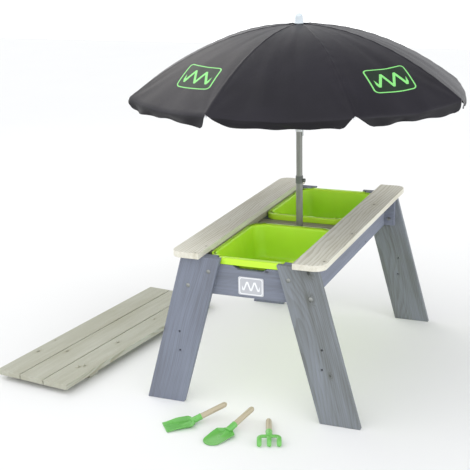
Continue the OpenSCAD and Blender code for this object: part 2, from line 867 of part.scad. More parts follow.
leg(-1, -1);  // front_left_leg
leg(1, -1);  // front_right_leg
leg(-1, 1);  // back_left_leg
leg(1, 1);  // back_right_leg
side_board(-1);  // left_side_board
side_board(1);  // right_side_board
end_apron(-1);  // front_apron
end_apron(1);  // back_apron
side_rail(-1);  // left_rail
side_rail(1);  // right_rail
centre_board();
pole_board();
cleats();
badge();
leg_bolts();
leg_nuts();
frame_screws();
tub(-1);  // front_tub
tub(1);  // back_tub
lid_boards();
lid_battens();
lid_screws();
lower_pole();
clamp_collar();
clamp_knob();
upper_pole();
crown_hub();
finial();
runner();
runner_latch();
rib(1);  // rib_1
rib(2);  // rib_2
rib(3);  // rib_3
rib(4);  // rib_4
rib(5);  // rib_5
rib(6);  // rib_6
rib(7);  // rib_7
rib(8);  // rib_8
stretcher(1);  // stretcher_1
stretcher(2);  // stretcher_2
stretcher(3);  // stretcher_3
stretcher(4);  // stretcher_4
stretcher(5);  // stretcher_5
stretcher(6);  // stretcher_6
stretcher(7);  // stretcher_7
stretcher(8);  // stretcher_8
canopy_piece(1);  // canopy_1
canopy_piece(2);  // canopy_2
canopy_piece(3);  // canopy_3
canopy_piece(4);  // canopy_4
canopy_piece(5);  // canopy_5
canopy_piece(6);  // canopy_6
canopy_piece(7);  // canopy_7
canopy_piece(8);  // canopy_8
shovel_blade();
shovel_handle();
trowel_blade();
trowel_handle();
rake_head();
rake_handle();
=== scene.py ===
import json
import math
import random

import bmesh
import bpy
import numpy as np
from mathutils import Matrix, Vector, noise


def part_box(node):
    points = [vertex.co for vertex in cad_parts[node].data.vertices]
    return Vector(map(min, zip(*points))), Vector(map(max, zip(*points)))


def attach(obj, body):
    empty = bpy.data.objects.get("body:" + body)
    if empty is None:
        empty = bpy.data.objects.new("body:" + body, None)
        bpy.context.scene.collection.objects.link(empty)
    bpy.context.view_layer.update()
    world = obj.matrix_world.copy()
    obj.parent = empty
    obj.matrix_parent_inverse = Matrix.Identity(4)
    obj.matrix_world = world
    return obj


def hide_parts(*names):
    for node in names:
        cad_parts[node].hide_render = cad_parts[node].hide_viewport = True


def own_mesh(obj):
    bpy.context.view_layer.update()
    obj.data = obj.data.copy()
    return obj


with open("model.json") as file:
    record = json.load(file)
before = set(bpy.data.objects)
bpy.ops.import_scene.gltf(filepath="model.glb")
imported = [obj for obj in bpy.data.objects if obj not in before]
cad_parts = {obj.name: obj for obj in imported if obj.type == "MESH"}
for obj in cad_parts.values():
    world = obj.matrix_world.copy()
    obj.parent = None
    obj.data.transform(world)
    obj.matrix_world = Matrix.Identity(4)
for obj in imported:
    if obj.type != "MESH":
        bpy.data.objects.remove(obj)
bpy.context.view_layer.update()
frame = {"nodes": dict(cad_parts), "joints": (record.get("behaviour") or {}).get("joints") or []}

JOINTS = {joint["name"]: joint for joint in frame["joints"]}
NODES = frame["nodes"]

RIBS = 8
RIB_PITCH = 2 * math.pi / RIBS


# ---------------------------------------------------------------- measures

def node_points(name):
    """Every vertex of a CAD node, in the row frame, in metres."""
    mesh = NODES[name].data
    points = np.empty(len(mesh.vertices) * 3)
    mesh.vertices.foreach_get("co", points)
    return points.reshape(-1, 3)


def rib_azimuth(number):
    """Direction of a rib from the pole, from its hinge's axis."""
    axis = JOINTS[f"rib_{number}_fold"]["axis"]
    return math.atan2(-axis[0], axis[1])


def measure_canopy():
    """Radius, rim height, top height and lowest height of the canopy."""
    points = node_points("canopy_1")
    reach = np.hypot(points[:, 0], points[:, 1])
    rim = points[reach > reach.max() - 1e-4]
    return {
        "radius": float(reach.max()),
        "hole": float(reach.min()),
        "rim": float(rim[:, 2].max()),
        "top": float(points[:, 2].max()),
        "low": float(points[:, 2].min()),
    }


CANOPY = measure_canopy()


# ---------------------------------------------------------------- mesh helpers

def new_object(name, mesh):
    piece = bpy.data.objects.new(name, mesh)
    bpy.context.scene.collection.objects.link(piece)
    return piece


def object_from(name, points, faces):
    mesh = bpy.data.meshes.new(name)
    mesh.from_pydata([tuple(p) for p in points], [], faces)
    mesh.update()
    return new_object(name, mesh)


def apply_modifiers(piece):
    """Bakes a piece's modifiers into its mesh."""
    graph = bpy.context.evaluated_depsgraph_get()
    mesh = bpy.data.meshes.new_from_object(piece.evaluated_get(graph), depsgraph=graph)
    piece.modifiers.clear()
    piece.data = mesh
    return piece


def ring_faces(rows, count):
    """Quads between rows of points that each close into a ring."""
    return [(row * count + k, row * count + (k + 1) % count,
             (row + 1) * count + (k + 1) % count, (row + 1) * count + k)
            for row in range(rows - 1) for k in range(count)]


def grid_faces(rows, cols):
    """Quads of a grid with that many steps each way."""
    stride = cols + 1
    return [(row * stride + col, (row + 1) * stride + col,
             (row + 1) * stride + col + 1, row * stride + col + 1)
            for row in range(rows) for col in range(cols)]


def capped_tube(name, points, count):
    """A closed tube from rings of points."""
    faces = ring_faces(len(points) // count, count)
    faces.append(tuple(reversed(range(count))))
    faces.append(tuple(range(len(points) - count, len(points))))
    return object_from(name, points, faces)


def smooth(piece, angle=40.0):
    """Smooth shading, with an edge kept sharp where it turns by more than the angle."""
    for face in piece.data.polygons:
        face.use_smooth = True
    piece.data.set_sharp_from_angle(angle=math.radians(angle))
    return piece


def wear(piece, *materials):
    piece.data.materials.clear()
    for material in materials:
        piece.data.materials.append(material)
    return piece


def rounded_board(node, width=0.0018, shortest=0.003):
    """A copy of a CAD board with its long edges rounded, as planed timber has them.

    Edges shorter than the shortest, round a drilled hole, stay as they are."""
    source = NODES[node].data.copy()
    work = bmesh.new()
    work.from_mesh(source)
    bmesh.ops.remove_doubles(work, verts=work.verts, dist=1e-6)
    bmesh.ops.dissolve_limit(
        work, angle_limit=math.radians(1), verts=work.verts, edges=work.edges)
    sharp = [
        edge for edge in work.edges
        if len(edge.link_faces) == 2
        and edge.calc_length() > shortest
        and edge.calc_face_angle() > math.radians(35)
    ]
    bmesh.ops.bevel(
        work, geom=sharp, offset=width, offset_type="OFFSET", segments=3,
        profile=0.6, affect="EDGES", clamp_overlap=False)
    work.to_mesh(source)
    work.free()
    piece = new_object(f"{node}_timber", source)
    for face in piece.data.polygons:
        face.use_smooth = True
    weighted = piece.modifiers.new("weighted", "WEIGHTED_NORMAL")
    weighted.keep_sharp = True
    apply_modifiers(piece)
    return piece


# ---------------------------------------------------------------- shader helpers

KNOT_THROUGH = 0.1               # keeps a knot the same through a board's thickness
KNOT_ALONG = (0.55, 1.0, 1.0)    # draws a knot out along the grain


class Shader:
    """A node tree under construction: a new material's, or the world's if it is given."""

    def __init__(self, name, world=None):
        self.material = world or bpy.data.materials.new(name)
        self.material.use_nodes = True
        self.tree = self.material.node_tree

    def node(self, kind, sockets=None, **settings):
        """A new node with its settings, and with a value or a link for each socket named."""
        made = self.tree.nodes.new(kind)
        for key, value in settings.items():
            setattr(made, key, value)
        for key, value in (sockets or {}).items():
            self.put(made.inputs[key], value)
        return made

    def put(self, socket, value):
        """Sets a socket to a number or colour, or links another socket to it."""
        if isinstance(value, bpy.types.NodeSocket):
            self.tree.links.new(value, socket)
        else:
            socket.default_value = value

    def coordinates(self, turn=(0, 0, 0), shift=(0, 0, 0)):
        source = self.node("ShaderNodeTexCoord")
        placed = {"Vector": source.outputs["Object"], "Rotation": turn, "Location": shift}
        return self.node("ShaderNodeMapping", placed).outputs["Vector"]

    def scaled(self, vector, scale, turn=(0, 0, 0)):
        placed = {"Vector": vector, "Rotation": turn, "Scale": scale}
        return self.node("ShaderNodeMapping", placed).outputs["Vector"]

    def split(self, vector):
        return self.node("ShaderNodeSeparateXYZ", {0: vector})

    def vector_math(self, operation, *values):
        return self.node("ShaderNodeVectorMath", dict(enumerate(values)), operation=operation)

    def noise(self, vector, scale, detail=4.0, rough=0.55):
        sockets = {"Vector": vector, "Scale": scale, "Detail": detail, "Roughness": rough}
        return self.node("ShaderNodeTexNoise", sockets).outputs["Fac"]

    def math(self, operation, first, second=0.0, third=0.0, clamp=False):
        made = self.node("ShaderNodeMath", operation=operation, use_clamp=clamp)
        for socket, value in zip(made.inputs, (first, second, third)):
            self.put(socket, value)
        return made.outputs[0]

    def spread(self, value, low, high, to_low=0.0, to_high=1.0):
        """Maps a value from one range to another, smoothly and clamped."""
        sockets = {"Value": value, "From Min": low, "From Max": high,
                   "To Min": to_low, "To Max": to_high}
        made = self.node("ShaderNodeMapRange", sockets, interpolation_type="SMOOTHSTEP")
        return made.outputs["Result"]

    def ramp(self, value, stops):
        made = self.node("ShaderNodeValToRGB")
        elements = made.color_ramp.elements
        while len(elements) < len(stops):
            elements.new(0.5)
        for element, (place, colour) in zip(elements, stops):
            element.position = place
            element.color = (*colour, 1)
        self.put(made.inputs["Fac"], value)
        return made.outputs["Color"]

    def mix(self, share, first, second, blend="MIX"):
        made = self.node("ShaderNodeMix", data_type="RGBA", blend_type=blend)
        self.put(made.inputs["Factor"], share)
        self.put(made.inputs[6], first if not isinstance(first, tuple) else (*first, 1))
        self.put(made.inputs[7], second if not isinstance(second, tuple) else (*second, 1))
        return made.outputs[2]

    def knot_masks(self, turn, knots):
        """Soft surroundings and hard cores of knots that run through a board's thickness.

        Each knot is (centre, radius, thin axis). They are drawn out a little along the grain."""
        halo, core = 0.0, 0.0
        for centre, radius, thin in knots:
            source = self.node("ShaderNodeTexCoord")
            offset = self.vector_math("SUBTRACT", source.outputs["Object"], centre)
            through = [KNOT_THROUGH if axis == thin else 1 for axis in range(3)]
            near = self.scaled(offset.outputs[0], through, turn)
            near = self.scaled(near, KNOT_ALONG)
            reach = self.vector_math("LENGTH", near).outputs["Value"]
            soft = self.spread(reach, radius * 0.8, radius * 3.4, 1.0, 0.0)
            hard = self.spread(reach, radius * 0.55, radius * 1.05, 1.0, 0.0)
            halo = self.math("MAXIMUM", halo, soft)
            core = self.math("MAXIMUM", core, hard)
        return halo, core

    def bump(self, height, strength, distance, under=None):
        sockets = {"Height": height, "Strength": strength, "Distance": distance}
        if under is not None:
            sockets["Normal"] = under
        return self.node("ShaderNodeBump", sockets).outputs["Normal"]

    def finish(self, **sockets):
        names = {"colour": "Base Color", "rough": "Roughness", "metal": "Metallic",
                 "normal": "Normal", "sheen": "Sheen Weight", "coat": "Coat Weight",
                 "specular": "Specular IOR Level", "sheen_rough": "Sheen Roughness",
                 "coat_rough": "Coat Roughness", "subsurface": "Subsurface Weight",
                 "subsurface_scale": "Subsurface Scale"}
        surface = self.tree.nodes["Principled BSDF"]
        for key, value in sockets.items():
            if isinstance(value, tuple) and key == "colour":
                value = (*value, 1)
            self.put(surface.inputs[names[key]], value)
        return self.material


# ---------------------------------------------------------------- materials

def wood(name, dark, base, light, seed, turn=(0.0, 0.0, 0.0), knots=(), figure=0.5, rough=0.74,
         pith=(0.004, -0.055), pitch=0.0032, bump=0.3):
    """Softwood cut from a log: growth rings, fibres, slow patches and knots.

    The grain runs along X after the turn, and the pith is a line beside it. Knots bend the
    rings round them."""
    shader = Shader(name)
    place = shader.coordinates(turn=turn)
    halo, core = shader.knot_masks(turn, knots)
    wander = shader.noise(shader.scaled(place, (1.6, 5.0, 5.0)), 1.0, detail=2.0)
    ripple = shader.noise(shader.scaled(place, (9.0, 40.0, 40.0)), 1.0, detail=3.0)
    shift = (seed * 1.3, pith[0] + seed * 0.0007, -pith[1])
    apart = shader.split(shader.coordinates(turn=turn, shift=shift))
    across = shader.math("ADD", apart.outputs["Y"],
                         shader.math("MULTIPLY", wander, 0.075))
    depth = shader.math("ADD", apart.outputs["Z"], shader.math("MULTIPLY", ripple, 0.004))
    radius = shader.math("SQRT", shader.math("ADD", shader.math("MULTIPLY", across, across),
                                             shader.math("MULTIPLY", depth, depth)))
    rings = shader.math("MULTIPLY", radius, 1 / pitch)
    rings = shader.math("ADD", rings, shader.math("MULTIPLY", halo, 2.2))
    phase = shader.math("FRACT", rings)
    line = shader.math("MULTIPLY", shader.spread(phase, 0.25, 0.92),
                       shader.spread(phase, 0.93, 0.995, 1.0, 0.0))
    fibres = shader.noise(shader.scaled(place, (16.0, 700.0, 700.0)), 1.0, detail=3.0)
    streaks = shader.noise(shader.scaled(place, (4.0, 110.0, 110.0)), 1.0, detail=4.0)
    patches = shader.noise(shader.scaled(place, (2.5, 14.0, 14.0)), 1.0, detail=5.0)
    tone = shader.math("MULTIPLY", line, figure)
    tone = shader.math("MULTIPLY_ADD", fibres, 0.35, tone)
    tone = shader.math("MULTIPLY_ADD", streaks, 0.55, tone)
    tone = shader.math("MULTIPLY_ADD", patches, 0.7, tone)
    tone = shader.math("MULTIPLY_ADD", halo, 0.16, tone)
    tone = shader.spread(tone, 0.42, 1.18 + figure * 0.6)
    colour = shader.ramp(tone, [(0.0, light), (0.5, base), (1.0, dark)])
    heart = tuple(0.42 * part for part in dark)
    colour = shader.mix(shader.math("MULTIPLY", core, 0.85), colour, heart)
    height = shader.math("MULTIPLY_ADD", line, -0.5, fibres)
    normal = shader.bump(height, bump, 0.0005)
    gloss = shader.spread(tone, 0.0, 1.0, rough - 0.06, rough + 0.08)
    return shader.finish(colour=colour, rough=gloss, normal=normal, specular=0.3)


def moulded(name, colour, rough=0.38, vary=0.05, grain=0.15, scale=420.0, subsurface=0.0):
    """Injection-moulded plastic: fine texture, and a slow change of tone and gloss."""
    shader = Shader(name)
    place = shader.coordinates()
    slow = shader.noise(place, 7.0, detail=3.0)
    fine = shader.noise(place, scale, detail=2.0)
    lighter = tuple(min(1.0, part * (1 + vary)) for part in colour)
    darker = tuple(part * (1 - vary) for part in colour)
    tint = shader.ramp(slow, [(0.3, darker), (0.7, lighter)])
    gloss = shader.spread(shader.noise(place, 38.0, detail=4.0), 0.3, 0.7, rough - 0.05, rough + 0.07)
    normal = shader.bump(fine, grain, 0.0004)
    return shader.finish(colour=tint, rough=gloss, normal=normal,
                         subsurface=subsurface, subsurface_scale=0.01)


def metal(name, colour, rough=0.3, metallic=1.0, vary=0.12, along=(60.0, 60.0, 900.0)):
    """Plated or painted metal with drawn marks along one direction and faint stains."""
    shader = Shader(name)
    place = shader.coordinates()
    marks = shader.noise(shader.scaled(place, along), 1.0, detail=3.0)
    stains = shader.noise(place, 30.0, detail=5.0)
    darker = tuple(part * (1 - vary) for part in colour)
    tint = shader.ramp(stains, [(0.35, darker), (0.65, colour)])
    gloss = shader.spread(marks, 0.25, 0.75, rough - 0.06, rough + 0.1)
    normal = shader.bump(marks, 0.08, 0.0003)
    return shader.finish(colour=tint, rough=gloss, metal=metallic, normal=normal)


def shades(colour, low=0.66, high=1.22):
    """Dark, middle and light versions of a colour."""
    return tuple(tuple(part * share for part in colour) for share in (low, 1.0, high))


BLUE_STAIN = ((0.150, 0.160, 0.190), (0.198, 0.218, 0.272), (0.235, 0.258, 0.325))
GREEN_STAIN = ((0.122, 0.128, 0.118), (0.192, 0.208, 0.222), (0.240, 0.262, 0.300))
SIDE_WOOD = ((0.520, 0.490, 0.385), (0.690, 0.670, 0.580), (0.780, 0.770, 0.700))
LID_WOOD = ((0.330, 0.320, 0.235), (0.440, 0.442, 0.370), (0.510, 0.520, 0.455))
RAW_WOOD = shades((0.400, 0.385, 0.280), 0.70, 1.18)

ALONG_X = (0.0, 0.0, 0.0)
ALONG_Y = (0.0, 0.0, math.radians(-90))

# Knots that stand out, as shares of the way along a board's box on its two long sides, with radius
NAMED_KNOTS = {
    "right_side_board": [(0.856, 0.050, 0.0042), (0.835, 0.346, 0.0036), (0.548, 0.710, 0.0040)],
    "front_right_leg": [(0.377, 0.975, 0.0060), (0.400, 0.805, 0.0055), (0.640, 0.330, 0.0030)],
}


def leg_turn(node):
    """Turn that lays the grain along a leg, from the lean of its sides."""
    points = node_points(node)
    top = points[points[:, 2] > points[:, 2].max() - 1e-4][:, 0].mean()
    foot = points[points[:, 2] < points[:, 2].min() + 1e-4][:, 0].mean()
    height = np.ptp(points[:, 2])
    return (0.0, math.atan2(height, top - foot), 0.0)


def board_knots(node, seed, count, radius=0.004):
    """Knots of a board: the named ones, or a few scattered over its box."""
    low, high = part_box(node)
    size = high - low
    thin = min(range(3), key=lambda axis: size[axis])
    wide = [axis for axis in range(3) if axis != thin]
    chance = random.Random(seed)
    picked = NAMED_KNOTS.get(node) or [
        (chance.random(), chance.random(), radius * chance.uniform(0.6, 1.3)) for _ in range(count)]
    knots = []
    for first, second, reach in picked:
        centre = [0.0, 0.0, 0.0]
        centre[wide[0]] = low[wide[0]] + size[wide[0]] * first
        centre[wide[1]] = low[wide[1]] + size[wide[1]] * second
        centre[thin] = (low[thin] + high[thin]) / 2
        knots.append((tuple(centre), reach, thin))
    return knots


# ---------------------------------------------------------------- camera

CAMERA_PLACE = (1.0862, -3.1849, 1.4329)
CAMERA_TURN = (22.49, 16.53, -1.19)    # yaw, pitch downwards and roll, in degrees
CAMERA_LENS = 80.66


def make_camera():
    """A long lens from the front right, a little above the table."""
    yaw, pitch, roll = (math.radians(angle) for angle in CAMERA_TURN)
    forward = Vector((-math.sin(yaw) * math.cos(pitch),
                      math.cos(yaw) * math.cos(pitch), -math.sin(pitch)))
    level = Vector((math.cos(yaw), math.sin(yaw), 0))
    up = level.cross(forward)
    right = math.cos(roll) * level + math.sin(roll) * up
    upward = -math.sin(roll) * level + math.cos(roll) * up
    data = bpy.data.cameras.new("camera")
    data.sensor_width = 36.0
    data.lens = CAMERA_LENS
    data.clip_end = 50.0
    camera = new_object("camera", data)
    turn = Matrix((right, upward, -forward)).transposed()
    camera.matrix_world = Matrix.Translation(CAMERA_PLACE) @ turn.to_4x4()
    bpy.context.scene.camera = camera


def area_light(name, place, target, size, power, colour=(1, 1, 1)):
    data = bpy.data.lights.new(name, "AREA")
    data.shape = "DISK"
    data.size = size
    data.energy = power
    data.color = colour
    lamp = new_object(name, data)
    lamp.location = place
    lamp.rotation_euler = (Vector(target) - Vector(place)).to_track_quat("-Z", "Y").to_euler()


SKY_LIGHT = 1.50
SKY_COLOUR = (0.98, 0.99, 1.0, 1.0)
DIM_TOWARDS = Vector((0.25, 0.55, 0.80))    # the sky is darker high up behind the table
DIM_EDGES = (0.62, 0.97)                    # cosines of the patch's outer and inner edge
DIM_SHARE = 0.25
SOFTBOX_WATTS = 16.0
SIDE_WATTS = 12.0
FILL_WATTS = 4.0
FLOOR_HALF = 9.0


def make_sky():
    """Even white sky with one darker patch, which keeps the canopy's front panels dark."""
    world = bpy.data.worlds.new("studio")
    sky = Shader("studio", world)
    source = sky.node("ShaderNodeTexCoord")
    away = sky.vector_math("DOT_PRODUCT", source.outputs["Generated"], DIM_TOWARDS.normalized())
    light = sky.spread(away.outputs["Value"], *DIM_EDGES, SKY_LIGHT, SKY_LIGHT * DIM_SHARE)
    background = sky.tree.nodes["Background"]
    sky.put(background.inputs["Color"], SKY_COLOUR)
    sky.put(background.inputs["Strength"], light)
    bpy.context.scene.world = world


def make_studio():
    """A pale floor under the sky, a warm softbox at the back left and two weak lamps."""
    bpy.context.scene.view_settings.view_transform = "Standard"
    make_sky()
    area_light("softbox", (-2.6, 1.9, 2.7), (0, 0, 0.7), 2.4, SOFTBOX_WATTS, (1.0, 0.94, 0.86))
    area_light("side", (3.0, -0.6, 0.75), (0.3, 0, 0.4), 1.2, SIDE_WATTS, (0.92, 0.95, 1.0))
    area_light("fill", (1.6, -2.6, 3.4), (0, 0, 0.4), 2.6, FILL_WATTS, (0.95, 0.97, 1.0))
    work = bmesh.new()
    bmesh.ops.create_grid(work, x_segments=8, y_segments=8, size=FLOOR_HALF)
    mesh = bpy.data.meshes.new("floor")
    work.to_mesh(mesh)
    work.free()
    floor = new_object("floor", mesh)
    shader = Shader("floor_paper")
    tint = shader.ramp(shader.noise(shader.coordinates(), 2.0),
                       [(0.0, (0.84, 0.84, 0.84)), (1.0, (0.86, 0.86, 0.86))])
    wear(floor, shader.finish(colour=tint, rough=0.9, specular=0.05))


# ---------------------------------------------------------------- timber

TIMBER_SEEDS = {
    "front_left_leg": 1, "front_right_leg": 2, "back_left_leg": 3, "back_right_leg": 4,
    "front_apron": 5, "back_apron": 6, "left_rail": 7, "right_rail": 8,
    "left_side_board": 9, "right_side_board": 10, "centre_board": 11, "pole_board": 12,
    "cleats": 13, "lid_boards": 14, "lid_battens": 15,
}


def timber_material(node, seed):
    if node.endswith("_leg"):
        colours = GREEN_STAIN if "right" in node else BLUE_STAIN
        return wood(f"stained_{node}", *colours, seed, leg_turn(node),
                    board_knots(node, seed, 2), figure=0.12)
    if node.endswith("_apron"):
        return wood(f"stained_{node}", *BLUE_STAIN, seed, ALONG_X, board_knots(node, seed, 1),
                    figure=0.25)
    if node.endswith("_rail"):
        return wood(f"stained_{node}", *BLUE_STAIN, seed, ALONG_Y, board_knots(node, seed, 3),
                    figure=0.25)
    if node.endswith("_side_board"):
        return wood(f"weathered_{node}", *SIDE_WOOD, seed, ALONG_Y, board_knots(node, seed, 3, 0.0028),
                    figure=0.35)
    if node == "lid_boards":
        return wood(f"pine_{node}", *LID_WOOD, seed, (0, 0, math.radians(-90) - lid_angle()),
                    board_knots(node, seed, 9, 0.0045), figure=0.45)
    if node == "lid_battens":
        return wood(f"pine_{node}", *LID_WOOD, seed, (0, 0, -lid_angle()), (), figure=0.45)
    return wood(f"raw_{node}", *RAW_WOOD, seed, ALONG_Y if node == "cleats" else ALONG_X,
                board_knots(node, seed, 2), figure=0.5)


def lid_angle():
    """How far the lid is turned from the table's direction, from one board's long side."""
    points = node_points("lid_boards")
    first = points[points[:, 1].argmax()]
    last = points[points[:, 0].argmin()]
    run = first - last
    return math.atan2(-run[0], run[1])


def make_timber():
    for node, seed in TIMBER_SEEDS.items():
        piece = rounded_board(node)
        wear(piece, timber_material(node, seed))
        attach(piece, "lid" if node.startswith("lid") else "table")
        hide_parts(node)


# ---------------------------------------------------------------- tubs

def rounded_loop(half_x, near_y, far_y, corner, count):
    """Points evenly spaced round a rectangle with round corners, centred on X = 0."""
    points = []
    straight_x = 2 * (half_x - corner)
    straight_y = (far_y - near_y) - 2 * corner
    arc = corner * math.pi / 2
    total = 2 * straight_x + 2 * straight_y + 4 * arc
    for step in range(count):
        run = total * step / count
        for side in range(4):
            straight = straight_x if side % 2 == 0 else straight_y
            if run < straight:
                along, out, turn = run - straight / 2, None, side
                break
            run -= straight
            if run < arc:
                along, out, turn = None, run / corner, side
                break
            run -= arc
        mid_y = (near_y + far_y) / 2
        reach = ((far_y - near_y) / 2, half_x)
        # Side 0 is the near side, run from -X to +X; the rest follow anticlockwise
        angle = turn * math.pi / 2
        across = reach[turn % 2]
        length = straight_x if turn % 2 == 0 else straight_y
        if out is None:
            local = Vector((along, -across))
        else:
            local = Vector((length / 2 + corner * math.sin(out),
                            -across + corner - corner * math.cos(out)))
        spun = Vector((local.x * math.cos(angle) - local.y * math.sin(angle),
                       local.x * math.sin(angle) + local.y * math.cos(angle)))
        points.append((spun.x, spun.y + mid_y))
    return points


def tub_measures(node):
    """What a tub's loft needs, from its CAD solid: rim box, opening and floor."""
    points = node_points(node) * np.array([1, 1 if "back" in node else -1, 1])
    low, high = points.min(0), points.max(0)
    return {"half": float(high[0]), "near": float(low[1]), "far": float(high[1]),
            "top": float(high[2]), "floor": float(low[2])}


TUB_FLANGE = 0.0135       # width of the rim's flat top at the sides
TUB_TONGUE = 0.018        # how far the tongue stands out past the rest of the rim
TUB_TONGUE_HALF = 0.104   # half the tongue's width
TUB_LIP = 0.0185          # height of the rim's turned-down lip
TUB_RIM_ROLL = 0.0085     # radius from the wall into the rim's top
TUB_FOOT_ROLL = 0.016     # radius from the floor into the wall
TUB_EDGE_ROLL = 0.004     # radius from the rim's top into the lip
TUB_SLOPE = math.radians(7)
TUB_WALL = 0.0026
TUB_OPENING_NEAR = 0.017  # from the near end of the rim to the opening
TUB_OPENING_FAR = 0.025   # from the tongue's end to the opening
TUB_POINTS = 240


def tongued(points, far, share):
    """Pushes the middle of a loop's far side out into the tongue."""
    moved = []
    for x, y in points:
        near_far_side = max(0.0, min(1.0, (y - far + 0.030) / 0.028))
        inside = max(0.0, min(1.0, (TUB_TONGUE_HALF - abs(x)) / 0.007))
        inside = inside * inside * (3 - 2 * inside)
        moved.append((x, y + share * TUB_TONGUE * inside * near_far_side))
    return moved


def tub_profile(size):
    """Loops of the inside, from the floor's edge to the rim's top: (inset, height, corner)."""
    top = size["top"]
    floor = size["floor"] + 0.003
    slope = math.tan(TUB_SLOPE)
    rim_roll = TUB_RIM_ROLL
    foot_roll = TUB_FOOT_ROLL
    loops = []
    for k in range(9):
        a = math.pi / 2 * k / 8
        inset = (top - floor) * slope + foot_roll * (1 - math.sin(a))
        loops.append((inset, floor + foot_roll * (1 - math.cos(a)), 0.034))
    for k in range(1, 9):
        z = floor + foot_roll + (top - rim_roll - floor - foot_roll) * k / 9
        loops.append(((top - z) * slope, z, 0.036))
    for k in range(7):
        a = math.pi / 2 * k / 6
        inset = rim_roll * slope - rim_roll * (1 - math.cos(a))
        loops.append((inset, top - rim_roll * (1 - math.sin(a)), 0.038))
    return loops


def make_tub(name):
    """One moulded tub: floor, tapered walls, rolled rim and turned-down lip."""
    size = tub_measures(name)
    half = size["half"] - TUB_FLANGE
    near = size["near"] + TUB_OPENING_NEAR
    far = size["far"] - TUB_OPENING_FAR
    outer_near = size["near"]
    outer_far = size["far"] - TUB_TONGUE
    loops = []
    for inset, z, corner in tub_profile(size):
        flat = rounded_loop(half - inset, near + inset, far - inset, corner, TUB_POINTS)
        loops.append([(x, y, z) for x, y in flat])
    # Flat top, outer roll and lip
    roll = TUB_EDGE_ROLL
    for share in (0.35, 0.7):
        flat = rounded_loop(
            half + (TUB_FLANGE - roll) * share, near - (near - outer_near - roll) * share,
            far + (outer_far - roll - far) * share, 0.040, TUB_POINTS)
        loops.append([(x, y, size["top"]) for x, y in tongued(flat, outer_far, share)])
    for k in range(6):
        a = math.pi / 2 * k / 5
        out = roll * (1 - math.sin(a))
        flat = rounded_loop(
            size["half"] - out, outer_near + out, outer_far - out, 0.044, TUB_POINTS)
        loops.append([(x, y, size["top"] - roll * (1 - math.cos(a)))
                      for x, y in tongued(flat, outer_far, 1.0)])
    for k in range(1, 5):
        z = size["top"] - roll - (TUB_LIP - roll) * k / 4
        flat = rounded_loop(size["half"], outer_near, outer_far, 0.044, TUB_POINTS)
        loops.append([(x, y, z) for x, y in tongued(flat, outer_far, 1.0)])
    points = [point for loop in loops for point in loop]
    faces = []
    for row in range(len(loops) - 1):
        for k in range(TUB_POINTS):
            a, b = row * TUB_POINTS + k, row * TUB_POINTS + (k + 1) % TUB_POINTS
            faces.append((a, b, b + TUB_POINTS, a + TUB_POINTS))
    # Floor with a shallow dish, as rings that shrink to its middle
    rings = 6
    centre_y = (near + far) / 2
    first = loops[0]
    for ring in range(1, rings):
        share = 1 - ring / rings
        points += [(x * share, centre_y + (y - centre_y) * share, z - 0.0012 * (1 - share))
                   for x, y, z in first]
    base = len(loops) * TUB_POINTS
    for ring in range(rings - 1):
        start = base + (ring - 1) * TUB_POINTS if ring else 0
        for k in range(TUB_POINTS):
            a, b = start + k, start + (k + 1) % TUB_POINTS
            c, d = base + ring * TUB_POINTS + (k + 1) % TUB_POINTS, base + ring * TUB_POINTS + k
            faces.append((b, a, d, c))
    points.append((0, centre_y, size["floor"] + 0.0018))
    last = base + (rings - 2) * TUB_POINTS
    for k in range(TUB_POINTS):
        faces.append((last + (k + 1) % TUB_POINTS, last + k, len(points) - 1))
    flip = 1 if "back" in name else -1
    points = [(x, y * flip, z) for x, y, z in points]
    if flip < 0:
        faces = [tuple(reversed(face)) for face in faces]
    piece = object_from(f"{name}_moulding", points, faces)
    shell = piece.modifiers.new("shell", "SOLIDIFY")
    shell.thickness = TUB_WALL
    shell.offset = 1.0
    apply_modifiers(piece)
    smooth(piece, 50)
    wear(piece, TUB_PLASTIC)
    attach(piece, name)
    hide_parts(name)


# ---------------------------------------------------------------- canopy

MARKED_PANELS = (1, 3)     # panels that carry the printed mark, by the rib before them
# slot of the flap's cloth: the canopy fabric darkened as painted shade
FLAP_SHADE_SLOT = len(MARKED_PANELS) + 1
PANEL_ROWS = 44
PANEL_COLS = 22
SEAM_LIFT = 0.0012
CLOTH_THICK = 0.0009
RIM_FLATNESS = 0.55
RIM_SAG = 0.012

# How far the flap is cut back from the ribs at its hem, at the two ends of each panel
FLAP_ENDS = {1: (0.024, 0.008), 2: (0.060, 0.034), 3: (0.056, 0.026), 4: (0.030, 0.030),
             5: (0.034, 0.030), 6: (0.030, 0.036), 7: (0.036, 0.026), 8: (0.028, 0.034)}


def off_rib(offset):
    """Rises from 0 at a rib to 1 in the middle of a panel, level there."""
    share = 1 - abs(offset) / (RIB_PITCH / 2)
    return 1 - share * share


